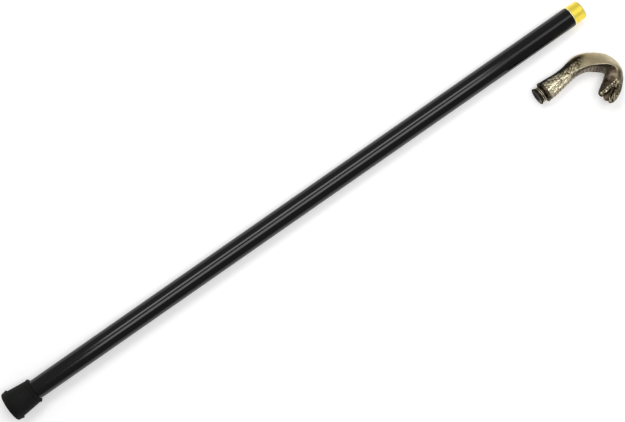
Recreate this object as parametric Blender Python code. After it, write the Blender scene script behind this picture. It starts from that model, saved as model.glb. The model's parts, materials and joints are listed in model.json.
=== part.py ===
"""Walking cane with a cobra-head handle, lying on a floor with the handle unscrewed.

The black wooden shaft carries a rubber foot at one end and a brass collar with a threaded
socket at the other. The cast brass handle lies beside the collar, its threaded stub pointing
back along the shaft. Units are metres, +X runs along the shaft from foot to collar, +Z is up.
"""
import math

import bmesh
import bpy
import numpy as np
from mathutils import Vector

MM = 0.001
CLEARANCE = 0.3 * MM

# Foot, measured from the sole along the shaft.
FOOT_LENGTH = 36.4 * MM
FOOT_SOLE_WALL = 5.1 * MM
FOOT_EDGE_ROUND = 1.8 * MM
FOOT_FLANGE_X = 6.4 * MM
FOOT_FLANGE_WALL = 6.9 * MM
FOOT_WAIST_X = 8.4 * MM
FOOT_WAIST_WALL = 5.6 * MM
FOOT_BEAD_WALL = 2.9 * MM
FOOT_BEAD_WIDTH = 2.6 * MM
FOOT_BEAD_STEP = 0.4 * MM
FOOT_BASE_THICKNESS = 5.0 * MM
FOOT_WASHER_THICKNESS = 2.2 * MM
FOOT_WASHER_HOLE_RADIUS = 4.0 * MM

# Shaft and collar.
SHAFT_RADIUS = 12.6 * MM
SHAFT_END_ROUND = 0.6 * MM
ASSEMBLY_LENGTH = 834.6 * MM
COLLAR_LENGTH = 15.8 * MM
COLLAR_LIP_STEP = 0.3 * MM
COLLAR_LIP_WIDTH = 1.0 * MM
COLLAR_BACK_STEP = 0.6 * MM
COLLAR_OPEN_STEP = 1.2 * MM
COLLAR_EDGE_ROUND = 0.3 * MM
SOCKET_WALL = 1.3 * MM
SOCKET_SPARE = 1.25 * MM
SPIGOT_RADIUS = 6.7 * MM
SPIGOT_LENGTH = 25.0 * MM
PIN_RADIUS = 1.5 * MM
PIN_COVER = 1.6 * MM
PIN_PLACE = 13.0 * MM

# Screw thread between the handle's stub and the collar.
THREAD_PITCH = 2.0 * MM
THREAD_TURNS_TO_SEAT = 4
THREAD_DEPTH = 0.9 * MM
THREAD_BASE_HALF = 0.6 * MM
THREAD_CREST_HALF = 0.25 * MM
THREAD_STEPS = 32
STUB_GROOVE_WIDTH = 1.5 * MM
STUB_GROOVE_DEPTH = 0.5 * MM
STUB_TIP_CHAMFER = 0.5 * MM
RING_THICKNESS = 1.0 * MM
RING_WIDTH = 0.65 * MM
SEAT_GAP = 0.15 * MM

# Inside the handle.
SHANK_STEP = 0.7 * MM
SHANK_LENGTH = 23.6 * MM
SCREW_RADIUS = 2.5 * MM
SCREW_HEAD_RADIUS = 5.2 * MM
SCREW_HEAD_HEIGHT = 3.4 * MM
SCREW_HEAD_DEPTH = 4.4 * MM
SCREW_GRIP = 9.0 * MM
SCREW_SLOT_WIDTH = 1.2 * MM
SCREW_SLOT_DEPTH = 1.4 * MM

# The handle's side outline, from the shoulder to the snout, seen with the neck along +X.
# Each station has the point on the back, the point on the belly, the half width of the
# section and where its widest line lies between belly (0) and back (1), in millimetres.
HANDLE_STATIONS = (
    ((0.0, 12.75), (0.0, -12.75), 12.75, 0.50),
    ((9.0, 12.2), (9.0, -12.4), 12.4, 0.50),
    ((18.0, 11.4), (17.5, -11.0), 11.7, 0.50),
    ((27.0, 11.0), (25.5, -9.8), 11.2, 0.50),
    ((36.0, 11.4), (32.5, -8.4), 11.0, 0.48),
    ((44.0, 13.2), (38.5, -8.0), 11.0, 0.44),
    ((51.5, 14.4), (44.0, -8.4), 11.2, 0.38),
    ((59.5, 13.6), (50.0, -9.6), 11.8, 0.33),
    ((67.5, 10.0), (55.5, -11.2), 12.6, 0.32),
    ((74.5, 5.4), (60.0, -13.0), 13.5, 0.34),
    ((81.0, -0.6), (64.0, -15.0), 14.5, 0.38),
    ((86.6, -8.0), (67.3, -17.2), 15.6, 0.44),
    ((90.2, -16.0), (69.6, -19.6), 16.8, 0.52),
    ((91.8, -24.8), (70.2, -22.4), 17.8, 0.60),
    ((90.2, -34.0), (69.0, -25.4), 17.2, 0.60),
    ((86.4, -42.6), (66.0, -28.2), 15.4, 0.56),
    ((81.0, -49.6), (62.0, -31.2), 14.0, 0.52),
    ((74.4, -55.2), (57.5, -34.2), 13.2, 0.50),
    ((67.0, -59.4), (54.0, -37.0), 11.6, 0.50),
    ((60.0, -60.6), (52.0, -40.0), 8.8, 0.50),
    ((56.2, -58.2), (52.6, -44.0), 5.0, 0.50),
)
SECTIONS_PER_STATION = 3
SECTION_POINTS = 28
MOUTH_CORNER = (74.0, -44.4)
MOUTH_LOWER_EDGE = (46.0, -41.4)
MOUTH_UPPER_EDGE = (46.0, -58.0)
MOUTH_WEB = 8.0

# How the handle lies beside the shaft.
SHOULDER_X = 740.8 * MM
HANDLE_OFFSET_Y = -56.3 * MM
NECK_REST_END = 20.0 * MM
CROOK_REST_START = 66.0 * MM

# Joint travels.
PULL_TRAVEL = 90.0 * MM

SEGMENTS = 48
SMALL_SEGMENTS = 24
SHARP_ANGLE = math.radians(35)

# Sizes that follow from the ones above.
FOOT_BORE_RADIUS = SHAFT_RADIUS + CLEARANCE
FOOT_SOLE_RADIUS = FOOT_BORE_RADIUS + FOOT_SOLE_WALL
FOOT_FLANGE_RADIUS = FOOT_BORE_RADIUS + FOOT_FLANGE_WALL
FOOT_WAIST_RADIUS = FOOT_BORE_RADIUS + FOOT_WAIST_WALL
FOOT_BEAD_RADIUS = FOOT_BORE_RADIUS + FOOT_BEAD_WALL
COLLAR_LIP_RADIUS = SHAFT_RADIUS - COLLAR_LIP_STEP
COLLAR_BACK_RADIUS = SHAFT_RADIUS - COLLAR_BACK_STEP
COLLAR_OPEN_RADIUS = SHAFT_RADIUS - COLLAR_OPEN_STEP
THREAD_CREST_RADIUS = COLLAR_OPEN_RADIUS - SOCKET_WALL - CLEARANCE
THREAD_ROOT_RADIUS = THREAD_CREST_RADIUS - THREAD_DEPTH
SOCKET_BORE_RADIUS = THREAD_ROOT_RADIUS + CLEARANCE
STUB_GROOVE_RADIUS = THREAD_ROOT_RADIUS - STUB_GROOVE_DEPTH
SHANK_RADIUS = STUB_GROOVE_RADIUS - SHANK_STEP
SHAFT_START = FOOT_BASE_THICKNESS + FOOT_WASHER_THICKNESS + 2 * CLEARANCE
COLLAR_START = ASSEMBLY_LENGTH - COLLAR_LENGTH
SHAFT_END = COLLAR_START - CLEARANCE
SEAT_TRAVEL = THREAD_TURNS_TO_SEAT * THREAD_PITCH
STUB_LENGTH = SEAT_TRAVEL + RING_THICKNESS + SEAT_GAP
SOCKET_DEPTH = STUB_LENGTH + SOCKET_SPARE
SEATED_SHOULDER_X = ASSEMBLY_LENGTH + RING_THICKNESS + 2 * SEAT_GAP
PIN_X = SHAFT_END - PIN_PLACE
PIN_LENGTH = 2 * (SHAFT_RADIUS - PIN_COVER)
LEAN_ANGLE = math.atan((FOOT_FLANGE_RADIUS - SHAFT_RADIUS) / (SHAFT_END - SHAFT_END_ROUND - FOOT_FLANGE_X))
SOLE_HEIGHT = FOOT_FLANGE_RADIUS * math.cos(LEAN_ANGLE) + FOOT_FLANGE_X * math.sin(LEAN_ANGLE)

PARTS = []


def clear_scene():
    for obj in list(bpy.data.objects):
        bpy.data.objects.remove(obj, do_unlink=True)


def material(name, color, roughness, metallic):
    mat = bpy.data.materials.new(name)
    mat.use_nodes = True
    shader = mat.node_tree.nodes["Principled BSDF"]
    shader.inputs["Base Color"].default_value = (*color, 1.0)
    shader.inputs["Roughness"].default_value = roughness
    shader.inputs["Metallic"].default_value = metallic
    return mat


def empty(name, parent=None, location=(0, 0, 0), rotation=(0, 0, 0)):
    obj = bpy.data.objects.new(name, None)
    bpy.context.scene.collection.objects.link(obj)
    obj.parent = parent
    obj.location = location
    obj.rotation_euler = rotation
    return obj


def to_object(name, bm, parent):
    bmesh.ops.recalc_face_normals(bm, faces=bm.faces)
    mesh = bpy.data.meshes.new(name)
    bm.to_mesh(mesh)
    bm.free()
    mesh.shade_smooth()
    mesh.set_sharp_from_angle(angle=SHARP_ANGLE)
    obj = bpy.data.objects.new(name, mesh)
    bpy.context.scene.collection.objects.link(obj)
    obj.parent = parent
    return obj


def part(name, bm, parent, mat):
    obj = to_object(name, bm, parent)
    obj.data.materials.append(mat)
    PARTS.append(obj)
    return obj


def boolean(obj, name, bm, operation="DIFFERENCE"):
    """Cut or add a hidden tool shape, which moves with the part it works on."""
    tool = to_object(name, bm, obj.parent)
    tool.hide_render = True
    tool.display_type = "WIRE"
    modifier = obj.modifiers.new(name, "BOOLEAN")
    modifier.operation = operation
    modifier.solver = "EXACT"
    modifier.object = tool


def turned(profile, segments=SEGMENTS):
    """Spin a profile of (x, radius) points about the X axis. It closes on the axis or on itself."""
    bm = bmesh.new()
    verts = [bm.verts.new((x, 0.0, radius)) for x, radius in profile]
    edges = [bm.edges.new(pair) for pair in zip(verts, verts[1:])]
    if profile[0][1] > 0.0:
        edges.append(bm.edges.new((verts[-1], verts[0])))
    bmesh.ops.spin(bm, geom=verts + edges, axis=(1, 0, 0), cent=(0, 0, 0), angle=math.tau,
                   steps=segments, use_merge=True)
    bmesh.ops.remove_doubles(bm, verts=bm.verts, dist=1e-7)
    return bm


def lofted(rings):
    """Bridge equal rings of points into a closed body with flat ends."""
    bm = bmesh.new()
    loops = [[bm.verts.new(point) for point in ring] for ring in rings]
    for first, second in zip(loops, loops[1:]):
        for k in range(len(first)):
            after = (k + 1) % len(first)
            bm.faces.new((first[k], first[after], second[after], second[k]))
    bm.faces.new(loops[0])
    bm.faces.new(loops[-1])
    return bm


def prism(outline, low, high):
    """Extrude an outline in the XY plane from one height to another."""
    return lofted([[(x, y, z) for x, y in outline] for z in (low, high)])


def cross_rod(x, length, radius):
    """A rod across the shaft, along Y."""
    bm = bmesh.new()
    bmesh.ops.create_cone(bm, cap_ends=True, segments=SMALL_SEGMENTS, radius1=radius, radius2=radius,
                          depth=length)
    bmesh.ops.rotate(bm, verts=bm.verts, matrix=Vector((0, 0, 1)).rotation_difference((0, 1, 0)).to_matrix())
    bmesh.ops.translate(bm, verts=bm.verts, vec=(x, 0, 0))
    return bm


def helix_bar(shoulder_x, first_x, last_x, sides, tapered):
    """A bar along the thread's helix. sides are (radius, half width) of its inner and outer edges.

    Its phase is counted from the handle's shoulder, so that stub and collar mesh when seated.
    """
    (inner, inner_half), (outer, outer_half) = sides
    step_x = THREAD_PITCH / THREAD_STEPS
    first = math.ceil((first_x - shoulder_x) / step_x)
    last = math.floor((last_x - shoulder_x) / step_x)
    run_out = THREAD_STEPS / 4
    rings = []
    for step in range(first, last + 1):
        angle = math.tau * step / THREAD_STEPS
        height = 1.0
        if tapered:
            height = min(1.0, (step - first + 1) / run_out, (last - step + 1) / run_out)
        top = inner + height * (outer - inner)
        top_half = inner_half + height * (outer_half - inner_half)
        x = shoulder_x + step * step_x
        corners = ((inner, -inner_half), (top, -top_half), (top, top_half), (inner, inner_half))
        rings.append([(x + dx, r * math.cos(angle), r * math.sin(angle)) for r, dx in corners])
    return lofted(rings)


def build_foot(cane, mat):
    bore = FOOT_BORE_RADIUS
    bead_start = FOOT_LENGTH - FOOT_BEAD_WIDTH
    profile = [(0.0, 0.0), (0.0, FOOT_SOLE_RADIUS - FOOT_EDGE_ROUND / 2)]
    for angle in (-60, -30, 0):
        turn = math.radians(angle)
        profile.append((FOOT_EDGE_ROUND * (1 + math.sin(turn)),
                        FOOT_SOLE_RADIUS + FOOT_EDGE_ROUND * (math.cos(turn) - 0.5)))
    profile += [
        (FOOT_FLANGE_X - 1.6 * MM, FOOT_FLANGE_RADIUS - 0.2 * MM),
        (FOOT_FLANGE_X, FOOT_FLANGE_RADIUS),
        (FOOT_FLANGE_X + 1.0 * MM, FOOT_FLANGE_RADIUS - 0.4 * MM),
        (FOOT_WAIST_X, FOOT_WAIST_RADIUS),
        (bead_start, FOOT_BEAD_RADIUS - FOOT_BEAD_STEP),
        (bead_start + 0.25 * FOOT_BEAD_WIDTH, FOOT_BEAD_RADIUS),
        (bead_start + 0.65 * FOOT_BEAD_WIDTH, FOOT_BEAD_RADIUS - 0.1 * MM),
        (FOOT_LENGTH, FOOT_BEAD_RADIUS - 0.35 * FOOT_BEAD_WIDTH),
        (FOOT_LENGTH, bore),
        (FOOT_BASE_THICKNESS, bore),
        (FOOT_BASE_THICKNESS, 0.0),
    ]
    part("foot", turned(profile), cane, mat)


def build_foot_washer(cane, mat):
    start = FOOT_BASE_THICKNESS + CLEARANCE
    end = start + FOOT_WASHER_THICKNESS
    hole = FOOT_WASHER_HOLE_RADIUS
    rim = SHAFT_RADIUS
    part("foot_washer", turned([(start, hole), (start, rim), (end, rim), (end, hole)]), cane, mat)


def build_shaft(turning, mat):
    bore = SPIGOT_RADIUS + CLEARANCE
    bore_floor = COLLAR_START - SPIGOT_LENGTH - CLEARANCE
    rounding = SHAFT_END_ROUND
    profile = [
        (SHAFT_START, 0.0), (SHAFT_START, SHAFT_RADIUS - rounding), (SHAFT_START + rounding, SHAFT_RADIUS),
        (SHAFT_END - rounding, SHAFT_RADIUS), (SHAFT_END, SHAFT_RADIUS - rounding),
        (SHAFT_END, bore), (bore_floor, bore), (bore_floor, 0.0),
    ]
    shaft = part("shaft", turned(profile), turning, mat)
    boolean(shaft, "shaft_pin_hole", cross_rod(PIN_X, PIN_LENGTH + 2 * CLEARANCE, PIN_RADIUS + CLEARANCE))


def build_collar(turning, mat):
    rounding = COLLAR_EDGE_ROUND
    lip_end = COLLAR_START + COLLAR_LIP_WIDTH
    socket_floor = ASSEMBLY_LENGTH - SOCKET_DEPTH
    spigot_end = COLLAR_START - SPIGOT_LENGTH
    profile = [
        (spigot_end, 0.0), (spigot_end, SPIGOT_RADIUS), (COLLAR_START, SPIGOT_RADIUS),
        (COLLAR_START, COLLAR_LIP_RADIUS - rounding), (COLLAR_START + rounding, COLLAR_LIP_RADIUS),
        (lip_end, COLLAR_LIP_RADIUS), (lip_end + rounding, COLLAR_BACK_RADIUS),
        (ASSEMBLY_LENGTH - rounding, COLLAR_OPEN_RADIUS), (ASSEMBLY_LENGTH, COLLAR_OPEN_RADIUS - rounding / 2),
        (ASSEMBLY_LENGTH, SOCKET_BORE_RADIUS), (socket_floor, SOCKET_BORE_RADIUS), (socket_floor, 0.0),
    ]
    collar = part("collar", turned(profile), turning, mat)
    root = THREAD_CREST_RADIUS + CLEARANCE
    root_half = THREAD_CREST_HALF + CLEARANCE
    flank = (THREAD_BASE_HALF - THREAD_CREST_HALF) / (THREAD_CREST_RADIUS - THREAD_ROOT_RADIUS)
    mouth = SOCKET_BORE_RADIUS - CLEARANCE
    mouth_half = root_half + flank * (THREAD_CREST_RADIUS - mouth)
    groove = helix_bar(SEATED_SHOULDER_X, socket_floor + THREAD_PITCH / 2, ASSEMBLY_LENGTH + THREAD_PITCH,
                       ((mouth, mouth_half), (root, root_half)), tapered=False)
    boolean(collar, "collar_thread_groove", groove)
    boolean(collar, "collar_pin_hole", cross_rod(PIN_X, 3 * SPIGOT_RADIUS, PIN_RADIUS + CLEARANCE))


def build_collar_pin(turning, mat):
    part("collar_pin", cross_rod(PIN_X, PIN_LENGTH, PIN_RADIUS), turning, mat)


def build_seal_ring(handle, mat):
    inner = THREAD_CREST_RADIUS + CLEARANCE
    outer = inner + RING_WIDTH
    rounding = RING_WIDTH / 4
    start = -STUB_LENGTH
    end = start + RING_THICKNESS
    profile = [
        (start, inner), (start, outer - rounding), (start + rounding, outer),
        (end - rounding, outer), (end, outer - rounding), (end, inner),
    ]
    part("seal_ring", turned(profile), handle, mat)


def build_threaded_stub(handle, mat):
    tip = -STUB_LENGTH
    counterbore = tip + SCREW_HEAD_DEPTH
    head_hole = SCREW_HEAD_RADIUS + CLEARANCE
    screw_hole = SCREW_RADIUS + CLEARANCE
    groove_start = -CLEARANCE - STUB_GROOVE_WIDTH
    profile = [
        (tip, head_hole), (tip, THREAD_ROOT_RADIUS - STUB_TIP_CHAMFER),
        (tip + STUB_TIP_CHAMFER, THREAD_ROOT_RADIUS), (groove_start, THREAD_ROOT_RADIUS),
        (groove_start, STUB_GROOVE_RADIUS), (-CLEARANCE, STUB_GROOVE_RADIUS),
        (-CLEARANCE, SHANK_RADIUS), (SHANK_LENGTH, SHANK_RADIUS), (SHANK_LENGTH, screw_hole),
        (counterbore, screw_hole), (counterbore, head_hole),
    ]
    stub = part("threaded_stub", turned(profile), handle, mat)
    sunk = CLEARANCE / 2
    ridge = helix_bar(0.0, tip + THREAD_BASE_HALF, groove_start - THREAD_BASE_HALF,
                      ((THREAD_ROOT_RADIUS - sunk, THREAD_BASE_HALF),
                       (THREAD_CREST_RADIUS, THREAD_CREST_HALF)), tapered=True)
    boolean(stub, "stub_thread", ridge, "UNION")


def build_stub_screw(handle, mat):
    seat = SCREW_HEAD_DEPTH - STUB_LENGTH - CLEARANCE
    top = seat - SCREW_HEAD_HEIGHT
    end = SHANK_LENGTH + SCREW_GRIP
    point = SCREW_RADIUS / 2
    profile = [
        (top, 0.0), (top, SCREW_HEAD_RADIUS), (seat, SCREW_HEAD_RADIUS), (seat, SCREW_RADIUS),
        (end - point, SCREW_RADIUS), (end, SCREW_RADIUS - point), (end, 0.0),
    ]
    screw = part("stub_screw", turned(profile, SMALL_SEGMENTS), handle, mat)
    slot_floor = top + SCREW_SLOT_DEPTH
    outline = [(top - CLEARANCE, -SCREW_HEAD_RADIUS - CLEARANCE), (slot_floor, -SCREW_HEAD_RADIUS - CLEARANCE),
               (slot_floor, SCREW_HEAD_RADIUS + CLEARANCE), (top - CLEARANCE, SCREW_HEAD_RADIUS + CLEARANCE)]
    boolean(screw, "screw_slot", prism(outline, -SCREW_SLOT_WIDTH / 2, SCREW_SLOT_WIDTH / 2))


def through_stations(position):
    """Values of the handle's outline at a place between two stations, along a smooth curve."""
    table = np.array([(*back, *belly, width, widest) for back, belly, width, widest in HANDLE_STATIONS])
    index = min(int(position), len(table) - 2)
    t = position - index
    before = table[max(index - 1, 0)]
    start = table[index]
    end = table[index + 1]
    after = table[min(index + 2, len(table) - 1)]
    slope_start = (end - before) / 2
    slope_end = (after - start) / 2
    return ((2 * t**3 - 3 * t**2 + 1) * start + (t**3 - 2 * t**2 + t) * slope_start
            + (3 * t**2 - 2 * t**3) * end + (t**3 - t**2) * slope_end)


def handle_section(position):
    """One ring of the handle: half an ellipse to the back and half an ellipse to the belly."""
    values = through_stations(position)
    back = values[0:2]
    belly = values[2:4]
    width, widest = values[4:6]
    middle = belly + widest * (back - belly)
    ring = []
    for k in range(SECTION_POINTS):
        angle = math.tau * k / SECTION_POINTS
        reach = math.cos(angle)
        side = back if reach > 0 else belly
        x, y = middle + abs(reach) * (side - middle)
        ring.append((x * MM, y * MM, width * math.sin(angle) * MM))
    return ring


def build_cobra_handle(handle, mat):
    count = (len(HANDLE_STATIONS) - 1) * SECTIONS_PER_STATION
    rings = [handle_section(k / SECTIONS_PER_STATION) for k in range(count + 1)]
    cobra = part("cobra_handle", lofted(rings), handle, mat)
    shank_floor = SHANK_LENGTH + CLEARANCE
    screw_floor = SHANK_LENGTH + SCREW_GRIP + CLEARANCE
    shank_hole = SHANK_RADIUS + CLEARANCE
    screw_hole = SCREW_RADIUS + CLEARANCE
    bore = turned([(-MM, 0.0), (-MM, shank_hole), (shank_floor, shank_hole), (shank_floor, screw_hole),
                   (screw_floor, screw_hole), (screw_floor, 0.0)])
    boolean(cobra, "stub_bore", bore)
    outline = [(x * MM, y * MM) for x, y in (MOUTH_CORNER, MOUTH_LOWER_EDGE, MOUTH_UPPER_EDGE)]
    inner = MOUTH_WEB / 2 * MM
    outer = max(station[2] for station in HANDLE_STATIONS) * MM
    boolean(cobra, "mouth_left", prism(outline, inner, outer))
    boolean(cobra, "mouth_right", prism(outline, -outer, -inner))


def world_points(obj):
    depsgraph = bpy.context.evaluated_depsgraph_get()
    evaluated = obj.evaluated_get(depsgraph)
    mesh = evaluated.to_mesh()
    points = np.array([evaluated.matrix_world @ vert.co for vert in mesh.vertices])
    evaluated.to_mesh_clear()
    return points


def lay_handle(handle):
    """Roll the handle about its stub until neck and crook both touch the floor, then lower it."""
    bpy.context.view_layer.update()
    inverse = np.array(handle.matrix_world.inverted().to_3x3())
    origin = np.array(handle.matrix_world.translation)
    pieces = [obj for obj in PARTS if obj.parent == handle]
    points = np.concatenate([world_points(obj) for obj in pieces]) - origin
    points = points @ inverse.T

    def heights(roll):
        flat = points[:, 1] * math.sin(roll) + points[:, 2] * math.cos(roll)
        return flat * math.cos(LEAN_ANGLE) - points[:, 0] * math.sin(LEAN_ANGLE)

    neck = points[:, 0] < NECK_REST_END
    crook = points[:, 0] > CROOK_REST_START
    low, high = math.radians(-40), 0.0
    for _ in range(40):
        roll = (low + high) / 2
        level = heights(roll)
        if level[crook].min() < level[neck].min():
            high = roll
        else:
            low = roll
    handle.rotation_euler = (roll, LEAN_ANGLE, 0)
    handle.location.z = -heights(roll).min()


def centre_on_floor(datum):
    """Move everything so that the object's box is centred on the origin."""
    bpy.context.view_layer.update()
    points = np.concatenate([world_points(obj) for obj in PARTS])
    middle = (points.min(axis=0) + points.max(axis=0)) / 2
    datum.location = (-middle[0], -middle[1], -points[:, 2].min())
    bpy.context.view_layer.update()


def report_places(cane, handle):
    """Print the joint axes and mount places in world coordinates."""
    along = cane.matrix_world.to_3x3() @ Vector((1, 0, 0))
    lined_up = Vector((SEATED_SHOULDER_X + SEAT_TRAVEL + PULL_TRAVEL, 0, 0))
    carry = cane.matrix_world @ lined_up - handle.matrix_world.translation
    print("shaft axis", tuple(along))
    print("sole centre", tuple(cane.matrix_world.translation))
    collar_point = Vector((ASSEMBLY_LENGTH, 0, (COLLAR_OPEN_RADIUS + THREAD_CREST_RADIUS + CLEARANCE) / 2))
    print("collar face", tuple(cane.matrix_world @ collar_point))
    print("carry", tuple(carry), "length", carry.length, "direction", tuple(carry.normalized()))
    print("shoulder", tuple(handle.matrix_world.translation), "roll", math.degrees(handle.rotation_euler.x))
    print("seat travel", SEAT_TRAVEL, "turns", THREAD_TURNS_TO_SEAT, "ratio", THREAD_PITCH / math.tau)


def build():
    clear_scene()
    rubber = material("rubber", (0.017, 0.016, 0.015), 0.75, 0.0)
    steel = material("steel", (0.55, 0.55, 0.56), 0.4, 1.0)
    black_wood = material("black_wood", (0.012, 0.011, 0.012), 0.3, 0.0)
    bright_brass = material("bright_brass", (0.88, 0.66, 0.2), 0.25, 1.0)
    aged_brass = material("aged_brass", (0.36, 0.3, 0.18), 0.4, 1.0)
    datum = empty("floor_datum")
    cane = empty("cane_axis", datum, (0, 0, SOLE_HEIGHT), (0, LEAN_ANGLE, 0))
    turning = empty("shaft_turn_axis", cane)
    handle = empty("handle_axis", datum, (SHOULDER_X, HANDLE_OFFSET_Y, 0))
    build_foot(cane, rubber)
    build_foot_washer(cane, steel)
    build_shaft(turning, black_wood)
    build_collar(turning, bright_brass)
    build_collar_pin(turning, bright_brass)
    build_seal_ring(handle, rubber)
    build_threaded_stub(handle, aged_brass)
    build_stub_screw(handle, steel)
    build_cobra_handle(handle, aged_brass)
    lay_handle(handle)
    centre_on_floor(datum)
    report_places(cane, handle)


build()
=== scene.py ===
import json
import math

import bmesh
import bpy
import numpy as np
from mathutils import Matrix, Vector
from mathutils.bvhtree import BVHTree


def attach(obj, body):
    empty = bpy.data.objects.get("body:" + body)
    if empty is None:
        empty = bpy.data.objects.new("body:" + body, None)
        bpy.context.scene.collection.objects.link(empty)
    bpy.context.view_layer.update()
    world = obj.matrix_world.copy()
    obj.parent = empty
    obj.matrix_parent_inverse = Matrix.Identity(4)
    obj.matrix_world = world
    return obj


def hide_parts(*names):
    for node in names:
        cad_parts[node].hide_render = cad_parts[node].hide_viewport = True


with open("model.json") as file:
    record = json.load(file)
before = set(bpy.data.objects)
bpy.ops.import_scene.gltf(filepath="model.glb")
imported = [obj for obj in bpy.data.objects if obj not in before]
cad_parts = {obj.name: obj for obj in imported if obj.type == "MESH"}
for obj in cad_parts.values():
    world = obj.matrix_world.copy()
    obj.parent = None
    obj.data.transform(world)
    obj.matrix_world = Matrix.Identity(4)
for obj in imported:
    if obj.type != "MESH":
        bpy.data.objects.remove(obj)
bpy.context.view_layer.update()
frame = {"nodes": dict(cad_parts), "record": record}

MM = 0.001
FLOOR_HALF = 6.0
FLOOR_GLOW = 0.22
WORLD_LEVEL = 0.35
WORLD_SLOPE = 0.1
PHOTO_WIDTH = 625
# Cosine and sine of the turn of the photograph's width from the cane.
PHOTO_ALONG = 0.82007
PHOTO_ACROSS = 0.57227
# Width of a pixel at the height of the shaft's middle, that height, and the camera's above it.
PIXEL = 1.2 * MM
SHAFT_HEIGHT = 16 * MM
CAMERA_HEIGHT = 1.6
SENSOR_WIDTH = 36
# Middle of the picture: place along the cane and beside it in millimetres. The camera stands this
# many pixels nearer the foot.
CAMERA_ALONG = 431.6
CAMERA_BESIDE = 14.4
TOWARD_FOOT = 75
# Lights: name, place, what they face, size and power.
LIGHTS = (
    ("long_softbox", (0.105, 0.8, 1.5), (0.105, 0.0, 0.0), (1.15, 0.48), 8.6),
    ("top_softbox", (0.09, -0.2, 1.66), (0.09, 0.0, 0.0), (1.2, 0.66), 9.2),
    ("handle_light", (0.95, -0.8, 0.26), (0.38, -0.06, 0.02), (0.4, 0.45), 1.3),
    ("end_softbox", (0.98, 0.2, 1.4), (0.4, 0.0, 0.0), (0.6, 0.7), 2.2),
)

# How the cane and the loose handle lie, from the solids.
SOLE = Vector(frame["record"]["mounts"][0]["pos_m"])
LEAN = math.asin(frame["record"]["mounts"][0]["axis"][2])
SHOULDER = Vector((0.3235424, -0.0085256, 0.0127471))
ROLL = math.radians(-13.9831)
CANE = Matrix.Translation(SOLE) @ Matrix.Rotation(LEAN, 4, "Y")
HANDLE = Matrix.Translation(SHOULDER) @ Matrix.Rotation(LEAN, 4, "Y") @ Matrix.Rotation(ROLL, 4, "X")

# Sizes in millimetres. Most of them are the solids'.
GAP = 0.3
SHAFT_RADIUS = 12.6
SHAFT_START = 7.8
SHAFT_END = 818.5
COLLAR_START = 818.8
CANE_LENGTH = 834.6
FOOT_LENGTH = 36.4
SOCKET_DEPTH = 10.4
SPIGOT_RADIUS = 6.7
SPIGOT_LENGTH = 25.0
END_ROUND = 0.6
THREAD_PITCH = 2.0
THREAD_PLAY = 0.2
RUN_IN = 0.7
TIGHT_GAP = 1.3
STUB_LENGTH = 9.15
STUB_THREAD_START = 1.7
STUB_THREAD_LENGTH = 4.95
UNDERCUT_START = -1.2
SHANK_RADIUS = 7.7
SHANK_END = 20.0
HEAD_HOLE_RADIUS = 5.5
HEAD_HOLE_DEPTH = 4.4
SCREW_HOLE_RADIUS = 2.8
# The thread stands 0.55 mm further out than in the solids, and its ridges' feet are sunk in the walls.
THREAD_CREST = 10.35
THREAD_ROOT = 9.45
UNDERCUT = 9.2
SUNK = 0.1
# Middle of the ring's section, as distance from the stub's end and radius, and half its size.
RING_MIDDLE = (0.5, 10.09)
RING_HALF = (0.49, 0.66)
RING_CORNERS = 20

# Sides of the handle: back, widest line, belly, half width, and how sharp the edge along the
# widest line is.
BODY_STATIONS = (
    ((0.0, 12.75), (0.0, 0.0), (0.0, -12.75), 12.75, 1.00),
    ((9.0, 12.2), (9.0, -0.6), (9.0, -12.4), 12.4, 1.00),
    ((18.0, 11.4), (17.7, -1.1), (17.5, -11.0), 11.7, 1.00),
    ((27.0, 11.2), (26.1, -1.9), (25.5, -9.8), 11.2, 1.02),
    ((36.0, 11.8), (33.5, -2.5), (32.5, -8.5), 10.8, 1.06),
    ((44.0, 13.4), (39.8, -3.0), (38.7, -7.6), 10.4, 1.10),
    ((51.5, 14.8), (45.4, -3.8), (44.6, -7.2), 10.2, 1.14),
    ((59.5, 14.2), (51.6, -4.9), (50.8, -7.4), 10.3, 1.18),
    ((67.6, 11.2), (57.3, -6.6), (56.6, -8.5), 11.0, 1.22),
    ((74.8, 6.8), (62.4, -8.9), (61.5, -10.3), 12.0, 1.28),
    ((82.0, 0.8), (67.0, -12.0), (65.6, -12.8), 13.5, 1.32),
    ((88.0, -6.4), (71.8, -15.5), (69.0, -15.4), 15.0, 1.34),
    ((91.2, -15.2), (76.6, -19.8), (71.4, -18.4), 16.6, 1.32),
    ((92.0, -24.4), (80.8, -25.2), (72.2, -21.7), 17.6, 1.28),
    ((90.2, -33.4), (82.8, -31.6), (70.8, -25.2), 17.2, 1.18),
)
# Sides of the head: back, lip, roof of the mouth, half width and sharpness of the lip.
HEAD_STATIONS = (
    ((86.2, -40.6), (79.0, -37.6), (66.5, -28.8), 15.2, 1.06),
    ((83.6, -44.2), (75.4, -41.2), (69.6, -34.6), 14.5, 1.0),
    ((80.2, -47.6), (72.0, -44.2), (70.4, -42.2), 13.8, 1.0),
    ((76.8, -50.8), (69.2, -46.3), (69.2, -46.8), 13.4, 1.0),
    ((73.2, -53.5), (66.6, -48.2), (67.2, -49.8), 12.7, 1.0),
    ((66.4, -57.0), (62.4, -51.6), (63.2, -53.4), 11.0, 1.0),
    ((60.4, -58.7), (58.3, -54.0), (59.2, -55.6), 8.5, 1.0),
    ((57.0, -58.4), (55.8, -54.6), (56.8, -56.0), 6.2, 1.0),
    ((55.2, -57.4), (54.4, -55.2), (55.0, -56.0), 3.5, 1.0),
)
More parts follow.
